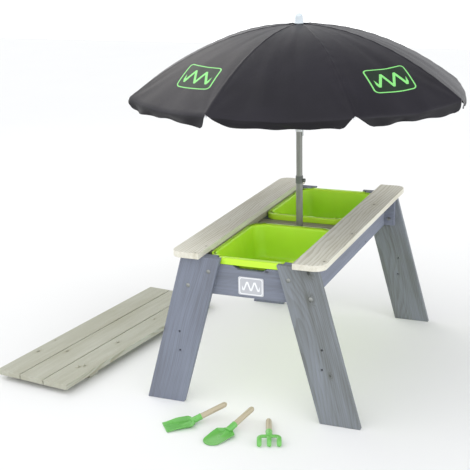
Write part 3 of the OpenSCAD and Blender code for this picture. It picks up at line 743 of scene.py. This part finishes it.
def cloth_point(azimuth, offset, t):
    """Point of the open canopy's top. t runs from the hub, 0, to the rim, 1."""
    half = RIB_PITCH / 2
    r = CANOPY["hole"] + (CANOPY["radius"] - CANOPY["hole"]) * t
    z = CANOPY["top"] - (CANOPY["top"] - CANOPY["rim"]) * (r / CANOPY["radius"]) ** 2
    chord = math.cos(half) / math.cos(half - abs(offset))
    pull = 1 - RIM_FLATNESS * (1 - chord) * t
    angle = azimuth + offset
    loose = off_rib(offset)
    sag = RIM_SAG * loose * t ** 6 + 0.003 * math.sin(math.pi * t) * loose
    spoke = Vector((math.cos(angle) * 3.1, math.sin(angle) * 3.1, t * 1.2))
    soft = noise.noise(spoke * 2.3) * 0.0035 * loose * t
    # Creases fan out from the rib's tip, and fine ones run beside the seam
    across = abs(offset) / half
    run = max(0.0, (t - 0.35) / 0.65)
    fan = math.atan2(across * 0.55, 1.02 - t) * 9.0 + noise.noise(spoke * 3.0) * 2.0
    crease = math.sin(fan) * 0.0013 * run * run * math.exp(-across * 2.2) * min(1.0, across * 9)
    tuck = math.sin(t * 70 + 4 * noise.noise(spoke * 2)) * 0.0005 * math.exp(-across * 9)
    lift = soft + crease + tuck
    return Vector((r * pull * math.cos(angle), r * pull * math.sin(angle), z - sag + lift))


def flap_cut(number, side, drop):
    """Distance along the rim from a rib to the flap's edge beside it."""
    if side > 0:
        width = FLAP_ENDS[number][0]
    else:
        width = FLAP_ENDS[(number - 2) % RIBS + 1][1]
    corner = max(0.0, (drop - 0.72) / 0.28)
    return width * drop ** 0.8 + 0.009 * (1 - math.sqrt(1 - min(1.0, corner) ** 2))


def valance_point(number, azimuth, offset, drop):
    """Point of the flap that hangs from the rim. drop runs from the rim, 0, to the hem, 1."""
    side = 1 if offset > 0 else -1
    half = RIB_PITCH / 2
    parted = flap_cut(number, side, drop) / CANOPY["radius"]
    spread = side * (abs(offset) + (half - abs(offset)) / half * parted)
    top = cloth_point(azimuth, spread, 1.0)
    angle = azimuth + spread
    out = Vector((math.cos(angle), math.sin(angle), 0))
    wave = math.sin(angle * 19.0 + 1.7 * math.sin(angle * 5.0)) * 0.0045
    wave += noise.noise(Vector((math.cos(angle) * 9, math.sin(angle) * 9, drop))) * 0.010
    turned = 0.004 * math.sin(math.pi / 2 * min(1.0, drop * 2.5))
    inward = 0.010 * drop * off_rib(spread)
    hem = 0.0018 * math.sin(angle * 13.0) + 0.0016 * math.sin(angle * 31.0)
    height = top.z - CANOPY["low"] - 0.002 + hem
    return top + out * (wave * drop + turned - inward) - Vector((0, 0, height * drop))


def canopy_rows():
    """The rows of one canopy piece: (kind, position), from the hub to the hem."""
    top = [("top", (row / PANEL_ROWS) ** 0.9) for row in range(PANEL_ROWS + 1)]
    return top + [("flap", row / 7) for row in range(1, 8)]


def make_canopy_piece(number):
    """The cloth over one rib: half a panel to each side, with the flap below the rim."""
    azimuth = rib_azimuth(number)
    half = RIB_PITCH / 2
    points, uvs, faces, slots = [], [], [], []
    rows = canopy_rows()
    for side in (-1, 1):
        start = len(points)
        for row, (kind, share) in enumerate(rows):
            for col in range(PANEL_COLS + 1):
                offset = side * half * (col / PANEL_COLS) ** 1.15
                offset = offset if col else side * 1e-5
                if kind == "top":
                    place = cloth_point(azimuth, offset, share)
                else:
                    place = valance_point(number, azimuth, offset, share)
                if kind == "top" and col == 0:
                    place.z += SEAM_LIFT
                points.append(place)
                run = math.hypot(place.x, place.y)
                uvs.append(((offset - side * half) * run, CANOPY["top"] - place.z + run))
        panel = number if side > 0 else (number - 2) % RIBS + 1
        cloth = MARKED_PANELS.index(panel) + 1 if panel in MARKED_PANELS else 0
        for kind, _ in rows[:-1]:
            slots += [cloth if kind == "top" else FLAP_SHADE_SLOT] * PANEL_COLS
        for face in grid_faces(len(rows) - 1, PANEL_COLS):
            face = [start + corner for corner in face]
            faces.append(face if side > 0 else face[::-1])
    piece = object_from(f"canopy_{number}_cloth", points, faces)
    layer = piece.data.uv_layers.new(name="panel")
    for loop in piece.data.loops:
        layer.data[loop.index].uv = uvs[loop.vertex_index]
    wear(piece, *CANOPY_CLOTHS)
    for face, index in zip(piece.data.polygons, slots):
        face.material_index = index
    weld_seam(piece)
    thick = piece.modifiers.new("thickness", "SOLIDIFY")
    thick.thickness = CLOTH_THICK
    thick.offset = -1.0
    apply_modifiers(piece)
    smooth(piece, 60)
    dress_canopy(piece, number)


def weld_seam(piece):
    """Joins the two halves along the rib, down to the rim but not down the flap."""
    work = bmesh.new()
    work.from_mesh(piece.data)
    bmesh.ops.remove_doubles(work, verts=work.verts, dist=1.5e-5)
    work.to_mesh(piece.data)
    work.free()


def dress_canopy(piece, number):
    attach(piece, f"rib_{number}")
    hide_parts(f"canopy_{number}")
    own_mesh(piece)


THREAD_PITCH = 0.0011
MARK_GREEN = (0.24, 0.70, 0.20)
MARK_FIELD = (0.012, 0.034, 0.014)


def cloth_material(name, colour, mark=None):
    """Woven polyester: crossed threads, a soft sheen and faint creases, with an optional mark."""
    shader = Shader(name)
    source = shader.node("ShaderNodeUVMap", uv_map="panel")
    split = shader.split(source.outputs["UV"])
    pitch = 2 * math.pi / THREAD_PITCH
    warp = shader.math("SINE", shader.math("MULTIPLY", split.outputs["X"], pitch))
    weft = shader.math("SINE", shader.math("MULTIPLY", split.outputs["Y"], pitch))
    weave = shader.math("MULTIPLY", warp, weft)
    slow = shader.noise(shader.coordinates(), 5.0, detail=4.0)
    crease = shader.noise(shader.coordinates(), 26.0, detail=5.0, rough=0.6)
    darker = tuple(part * 0.80 for part in colour)
    lighter = tuple(part * 1.25 for part in colour)
    tint = shader.ramp(slow, [(0.3, darker), (0.7, lighter)])
    fleck = shader.math("MULTIPLY_ADD", weave, 0.06, 1.0)
    tint = shader.mix(1.0, tint, fleck, blend="MULTIPLY")
    if mark is not None:
        lines, field = mark_masks(shader, split, mark)
        tint = shader.mix(shader.math("MULTIPLY", field, 0.7), tint, MARK_FIELD)
        tint = shader.mix(lines, tint, MARK_GREEN)
    normal = shader.bump(crease, 0.10, 0.004)
    normal = shader.bump(weave, 0.12, 0.0003, under=normal)
    return shader.finish(colour=tint, rough=0.46, normal=normal, sheen=0.03,
                         sheen_rough=0.4, specular=0.22)


def mark_masks(shader, split, mark):
    """A printed mark on a panel: a round-cornered frame with a plain zigzag, and nothing legible.

    mark is (place across, place down the slope, half width, half height, slant), in metres.
    Gives the mask of the lines and the mask of the field inside the frame."""
    aside, middle, half_w, half_h, slant = mark
    down = shader.math("SUBTRACT", split.outputs["Y"], middle)
    leaned = shader.math("SUBTRACT", split.outputs["X"], aside)
    leaned = shader.math("MULTIPLY_ADD", down, slant, leaned)
    corner = 0.016
    dx = shader.math("SUBTRACT", shader.math("ABSOLUTE", leaned), half_w - corner)
    dy = shader.math("SUBTRACT", shader.math("ABSOLUTE", down), half_h - corner)
    dx = shader.math("MAXIMUM", dx, 0.0)
    dy = shader.math("MAXIMUM", dy, 0.0)
    reach = shader.math("SQRT", shader.math("ADD", shader.math("MULTIPLY", dx, dx),
                                            shader.math("MULTIPLY", dy, dy)))
    frame_line = shader.math("ABSOLUTE", shader.math("SUBTRACT", reach, corner))
    ring = shader.spread(frame_line, 0.0022, 0.0032, 1.0, 0.0)
    field = shader.spread(reach, corner - 0.001, corner, 1.0, 0.0)
    zigzag = shader.math("PINGPONG", shader.math("ADD", leaned, half_w), half_w / 3)
    zigzag = shader.math("MULTIPLY_ADD", zigzag, 2.6, -half_w / 3 * 1.3)
    wave = shader.math("ABSOLUTE", shader.math("SUBTRACT", down, zigzag))
    stroke = shader.spread(wave, 0.0135, 0.0150, 1.0, 0.0)
    tall = shader.spread(shader.math("ABSOLUTE", down), half_h * 0.56, half_h * 0.58, 1.0, 0.0)
    inside = shader.spread(shader.math("ABSOLUTE", leaned), half_w * 0.78, half_w * 0.80, 1.0, 0.0)
    stroke = shader.math("MULTIPLY", shader.math("MULTIPLY", stroke, inside), tall)
    return shader.math("MAXIMUM", ring, stroke, clamp=True), field


BADGE_SCALE = 2.2     # the mark is drawn at the canopy's size, and this brings it to the badge's


def badge_metal():
    """Brushed plate with the same plain mark as the canopy, in pale raised lines."""
    shader = Shader("badge_metal")
    low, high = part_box("badge")
    centre = (low + high) / 2
    place = shader.coordinates(shift=tuple(-centre))
    source = shader.split(place)
    across = shader.math("MULTIPLY", source.outputs["X"], BADGE_SCALE)
    down = shader.math("MULTIPLY", source.outputs["Z"], -BADGE_SCALE)
    flat = shader.node("ShaderNodeCombineXYZ", {"X": across, "Y": down})
    split = shader.split(flat.outputs[0])
    lines, field = mark_masks(shader, split, (0.0, 0.0, 0.078, 0.054, 0.0))
    brushed = shader.noise(shader.scaled(place, (900.0, 60.0, 40.0)), 1.0, detail=3.0)
    tint = shader.ramp(brushed, [(0.3, (0.60, 0.61, 0.64)), (0.7, (0.70, 0.71, 0.74))])
    tint = shader.mix(shader.math("MULTIPLY", field, 0.55), tint, (0.42, 0.43, 0.47))
    tint = shader.mix(lines, tint, (0.88, 0.89, 0.92))
    normal = shader.bump(lines, 0.6, 0.0006)
    normal = shader.bump(brushed, 0.06, 0.0003, under=normal)
    return shader.finish(colour=tint, rough=0.38, metal=0.5, normal=normal)


def lathe(name, profile, place, steps=48):
    """A turned piece from (radius, height) points, closed at its axis."""
    points = [(radius * math.cos(2 * math.pi * step / steps),
               radius * math.sin(2 * math.pi * step / steps), height)
              for radius, height in profile for step in range(steps)]
    piece = capped_tube(name, points, steps)
    piece.data.transform(place)
    return smooth(piece, 45)


def dome(radius, low, high, steps=8):
    """Profile of a rounded end, from the radius at the low height to the axis at the high one."""
    rise = high - low
    return [(max(1e-4, radius * math.cos(math.pi / 2 * k / steps)),
             low + rise * math.sin(math.pi / 2 * k / steps)) for k in range(steps + 1)]


def make_rib_tips():
    """White plastic tips that hold the cloth on the ribs' ends, in the gaps of the flap."""
    for number in range(1, RIBS + 1):
        azimuth = rib_azimuth(number)
        out = Vector((math.cos(azimuth), math.sin(azimuth), 0))
        tip = out * (CANOPY["radius"] - 0.004) + Vector((0, 0, CANOPY["rim"] - 0.006))
        direction = (out * 0.78 - Vector((0, 0, 0.62))).normalized()
        turn = direction.to_track_quat("Z", "Y").to_matrix().to_4x4()
        profile = [(0.0028, -0.012), (0.0036, -0.009), (0.0036, 0.0)] + dome(0.0036, 0.0, 0.004)[1:]
        piece = lathe(f"rib_tip_{number}", profile, Matrix.Translation(tip) @ turn, 20)
        wear(piece, WHITE_PLASTIC)
        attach(piece, f"rib_{number}")


def make_finial():
    """Cap on the canopy's top: a flange and a plump rounded knob."""
    low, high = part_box("finial")
    seat = CANOPY["top"] + 0.001
    radius = high.x - 0.0017
    profile = [(0.0065, low.z), (0.0065, seat - 0.0005), (high.x - 0.001, seat), (high.x, seat + 0.0012),
               (high.x - 0.0002, seat + 0.003), (radius, seat + 0.0048), (radius - 0.0005, seat + 0.008),
               (radius - 0.0010, high.z - 0.011)]
    profile += dome(radius - 0.0012, high.z - 0.009, high.z)
    piece = lathe("finial_cap", profile, Matrix.Identity(4))
    wear(piece, PALE_PLASTIC)
    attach(piece, "upper_pole")
    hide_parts("finial")


# ---------------------------------------------------------------- hand tools

HANDLE_SEAT = 0.008     # how far up the socket the handle's end sits
SOCKET_RADIUS = 0.0101
SOCKET_LENGTH = 0.032
BLADE_THICK = 0.002
TINE_PITCH = 0.0285
TINE_BEND = 0.0175      # middle radius of a tine's bend
TINE_TIP = -0.0262      # the tip, along the rake's face from the start of the bend
HANDLE_RADIUS = 0.0085


def head_of(tool):
    """The CAD node of a hand tool's plastic end."""
    return "rake_head" if tool == "rake" else f"{tool}_blade"


def tool_frames(tool, back):
    """Frames of a hand tool, from its handle: flat on the floor and along the neck, and the
    handle's length. back is how far the neck lies behind the middle of the head."""
    points = node_points(f"{tool}_handle")
    centre = points.mean(0)
    main = np.linalg.svd(points - centre)[2][0]
    along = (points - centre) @ main
    ends = [Vector(points[along < along.min() + 1e-4].mean(0)),
            Vector(points[along > along.max() - 1e-4].mean(0))]
    low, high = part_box(head_of(tool))
    ends.sort(key=lambda end: (end - (low + high) / 2).length)
    axis = (ends[1] - ends[0]).normalized()
    neck = ends[0] - axis * HANDLE_SEAT
    ahead = Vector((axis.x, axis.y, 0)).normalized()
    foot = Vector((neck.x, neck.y, 0)) - ahead * back
    flat = Matrix.Translation(foot) @ Matrix.Rotation(math.atan2(ahead.y, ahead.x), 4, "Z")
    reach = (ends[1] - ends[0]).length
    return flat, Matrix.Translation(neck) @ axis.to_track_quat("Z", "Y").to_matrix().to_4x4(), reach


def ramp_up(value, low, high):
    """0 below low, 1 above high, smooth between."""
    share = min(1.0, max(0.0, (value - low) / (high - low)))
    return share * share * (3 - 2 * share)


def make_handle(tool, along, reach):
    """Turned wooden handle with a rounded end, in its own frame so the grain runs along it."""
    radius = HANDLE_RADIUS
    profile = [(radius - 0.001, HANDLE_SEAT), (radius, HANDLE_SEAT + 0.001), (radius, SOCKET_LENGTH)]
    top = HANDLE_SEAT + reach
    profile += [(radius, SOCKET_LENGTH + (top - 0.012 - SOCKET_LENGTH) * k / 5) for k in range(1, 6)]
    profile += [(radius - 0.0035 * (1 - math.cos(math.pi / 2 * k / 6)),
                 top - 0.012 + 0.009 * math.sin(math.pi / 2 * k / 6)) for k in range(1, 7)]
    profile += [(0.0040, top - 0.0012), (0.0018, top - 0.0002)]
    piece = lathe(f"{tool}_wood", profile, Matrix.Identity(4))
    piece.matrix_world = along
    wear(piece, HANDLE_WOOD)
    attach(piece, tool)
    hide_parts(f"{tool}_handle")


def make_socket(tool, along):
    """Plastic socket round the handle's end, with a bead at its mouth."""
    r = SOCKET_RADIUS
    profile = [(r - 0.0045, -0.0035), (r - 0.0022, -0.0028), (r - 0.0008, -0.0008), (r - 0.0004, 0.002),
               (r - 0.0003, 0.014), (r - 0.0006, SOCKET_LENGTH - 0.006),
               (r - 0.0001, SOCKET_LENGTH - 0.0045), (r, SOCKET_LENGTH - 0.0025),
               (r - 0.0004, SOCKET_LENGTH - 0.0006), (r - 0.0014, SOCKET_LENGTH)]
    piece = lathe(f"{tool}_socket", profile, along, 40)
    wear(piece, TOOL_GREEN)
    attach(piece, tool)


def ridge(x, y, neck):
    """Raised spine that runs from the socket down onto the blade."""
    rise = ramp_up(x, neck - 0.042, neck + 0.004)
    width = 0.005 + 0.006 * rise
    return 0.0095 * rise * math.exp(-(y / width) ** 2 * 1.2)


def shovel_point(u, v):
    """Square-ended scoop: sides and back curled up, back corners cut off."""
    x = -0.044 + 0.088 * u
    wide = 0.032 - 0.010 * ramp_up(x, 0.036, 0.046)
    y = wide * v
    side = ramp_up(abs(y), wide - 0.011, wide) * (0.12 + 0.88 * ramp_up(x, -0.046, 0.012))
    back = ramp_up(x, 0.031, 0.044)
    wall = 0.0105 * min(1.0, math.hypot(side, back))
    dent = 0.0006 * (1 - v * v)
    return Vector((x, y, 0.0031 + wall + ridge(x, y, 0.040) * (1 - 0.35 * back) - dent))


def trowel_point(u, v):
    """Round-nosed scoop: the edge curls up towards its shoulders."""
    nose = 0.55
    turn = 1 - math.cos(math.pi / 2 * min(u, nose))
    x = -0.053 + 0.097 * (turn + (1 - turn) * max(0.0, u - nose) / (1 - nose))
    if x < -0.024:
        wide = math.sqrt(max(1e-8, 0.029 ** 2 - (x + 0.024) ** 2))
    elif x < 0.030:
        wide = 0.029 + 0.005 * (x + 0.024) / 0.054
    else:
        wide = 0.034 - 0.022 * ramp_up(x, 0.027, 0.047)
    y = wide * v
    near_edge = max(abs(v) ** 5, ramp_up(math.hypot(x + 0.024, y), 0.021, 0.029) if x < -0.024 else 0.0)
    grow = 0.20 + 0.80 * ramp_up(x, -0.050, 0.024)
    return Vector((x, y, 0.0028 + 0.0092 * near_edge * grow + ridge(x, y, 0.040)))


def make_blade(tool, shape, flat):
    rows, cols = 40, 32
    points = [shape(row / rows, 2 * col / cols - 1) for row in range(rows + 1)
              for col in range(cols + 1)]
    piece = object_from(f"{tool}_scoop", points, grid_faces(rows, cols))
    piece.data.transform(flat)
    shell = piece.modifiers.new("shell", "SOLIDIFY")
    shell.thickness = BLADE_THICK
    shell.offset = -1.0
    edge = piece.modifiers.new("edge", "BEVEL")
    edge.width = 0.0007
    edge.segments = 2
    edge.angle_limit = math.radians(50)
    apply_modifiers(piece)
    smooth(piece, 50)
    wear(piece, TOOL_GREEN)
    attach(piece, tool)
    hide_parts(f"{tool}_blade")


def tine_place(along, aside):
    """Place and outward direction on the rake's face: flat behind the bend, then down to the tip."""
    if along > 0:
        return Vector((-0.017 + along, aside, TINE_BEND)), Vector((0, 0, 1))
    angle = math.pi / 2 - along / TINE_BEND
    out = Vector((math.cos(angle), 0, math.sin(angle)))
    return Vector((-0.017, aside, 0)) + out * TINE_BEND, out


def staple_path():
    """Centre line of the outer tines and the bar that joins them, as (along, aside)."""
    bar, bend = 0.0175, 0.012
    path = [(TINE_TIP + (bar - bend - TINE_TIP) * k / 16, -TINE_PITCH) for k in range(17)]
    path += [(bar - bend + bend * math.sin(math.pi / 2 * k / 8),
              -TINE_PITCH + bend * (1 - math.cos(math.pi / 2 * k / 8))) for k in range(1, 9)]
    return path + [(along, -aside) for along, aside in reversed(path)]


def sweep(name, path, half_width, half_thick, flat):
    """A rounded bar along a path on the rake's face, with rounded ends."""
    steps = 20
    points = []
    places = [tine_place(*spot) for spot in path]
    run = [0.0]
    for (before, _), (after, _) in zip(places, places[1:]):
        run.append(run[-1] + (after - before).length)
    for index, (place, out) in enumerate(places):
        before = places[max(0, index - 1)][0]
        after = places[min(len(places) - 1, index + 1)][0]
        aside = (after - before).normalized().cross(out).normalized()
        end = min(run[index], run[-1] - run[index])
        shrink = math.sqrt(max(0.02, 1 - (1 - min(1.0, end / half_width)) ** 2))
        for step in range(steps):
            angle = 2 * math.pi * step / steps
            c, d = math.cos(angle), math.sin(angle)
            wide = math.copysign(abs(c) ** 0.7, c) * half_width * shrink
            thick = math.copysign(abs(d) ** 0.7, d) * half_thick * min(1.0, shrink * 1.3)
            points.append(place + aside * wide + out * thick)
    piece = capped_tube(name, points, steps)
    piece.data.transform(flat)
    smooth(piece, 60)
    wear(piece, TOOL_GREEN)
    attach(piece, "rake")
    return piece


def make_tools():
    for tool, shape in (("shovel", shovel_point), ("trowel", trowel_point)):
        flat, along, reach = tool_frames(tool, 0.040)
        make_blade(tool, shape, flat)
        make_socket(tool, along)
        make_handle(tool, along, reach)
    flat, along, reach = tool_frames("rake", 0.006)
    staple = sweep("rake_staple", staple_path(), 0.0069, 0.0034, flat)
    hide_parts("rake_head")
    middle = [(TINE_TIP + 0.043 * k / 18, 0.0) for k in range(19)]
    sweep("rake_middle_tine", middle, 0.0066, 0.0036, flat)
    make_socket("rake", along)
    make_handle("rake", along, reach)


# ---------------------------------------------------------------- carried-over CAD nodes

def dress_node(node, material):
    data = NODES[node].data
    data.materials.clear()
    data.materials.append(material)
    for face in data.polygons:
        face.material_index = 0


# ---------------------------------------------------------------- build

TUB_PLASTIC = moulded("tub_plastic", (0.530, 0.860, 0.035), rough=0.36, vary=0.04, grain=0.05,
                      subsurface=0.06)
WHITE_PLASTIC = moulded("white_plastic", (0.80, 0.81, 0.83), rough=0.4)
PALE_PLASTIC = moulded("pale_plastic", (0.66, 0.73, 0.78), rough=0.35)
DARK_PLASTIC = moulded("dark_plastic", (0.13, 0.14, 0.13), rough=0.5)
TOOL_GREEN = moulded("tool_green", (0.15, 0.46, 0.10), rough=0.3, vary=0.06, grain=0.04)
ZINC = metal("zinc", (0.30, 0.31, 0.30), rough=0.40)
BADGE_METAL = badge_metal()
POLE_PAINT = metal("pole_paint", (0.270, 0.275, 0.252), rough=0.38, metallic=0.35)
RIB_PAINT = metal("rib_paint", (0.70, 0.71, 0.72), rough=0.35, metallic=0.4)
CLOTH_GREY = (0.014, 0.0125, 0.018)
CANOPY_CLOTHS = (
    cloth_material("canopy_cloth", CLOTH_GREY),
    cloth_material("canopy_cloth_left_mark", CLOTH_GREY, (0.030, 0.531, 0.078, 0.066, -0.29)),
    cloth_material("canopy_cloth_right_mark", CLOTH_GREY, (0.003, 0.549, 0.080, 0.067, 0.15)),
    # the flap's cloth is the canopy fabric at half its colour: painted shade for the flap hanging under
    # the rim
    cloth_material("canopy_flap_painted_shade_cloth", tuple(0.5 * part for part in CLOTH_GREY)),
)

make_camera()
make_studio()
make_timber()
for tub in ("front_tub", "back_tub"):
    make_tub(tub)
for rib in range(1, RIBS + 1):
    make_canopy_piece(rib)
make_rib_tips()
make_finial()

for steel in ("leg_bolts", "leg_nuts", "frame_screws", "lid_screws"):
    dress_node(steel, ZINC)
dress_node("badge", BADGE_METAL)
dress_node("lower_pole", POLE_PAINT)
dress_node("upper_pole", POLE_PAINT)
dress_node("clamp_collar", DARK_PLASTIC)
dress_node("clamp_knob", DARK_PLASTIC)
for white in ("crown_hub", "runner", "runner_latch"):
    dress_node(white, WHITE_PLASTIC)
for number in range(1, RIBS + 1):
    dress_node(f"rib_{number}", RIB_PAINT)
    dress_node(f"stretcher_{number}", RIB_PAINT)
HANDLE_WOOD = wood("handle_wood", *shades((0.46, 0.40, 0.29), 0.8, 1.12), 20,
                   (0.0, math.radians(90), 0.0), figure=0.35, rough=0.5, bump=0.1)
make_tools()
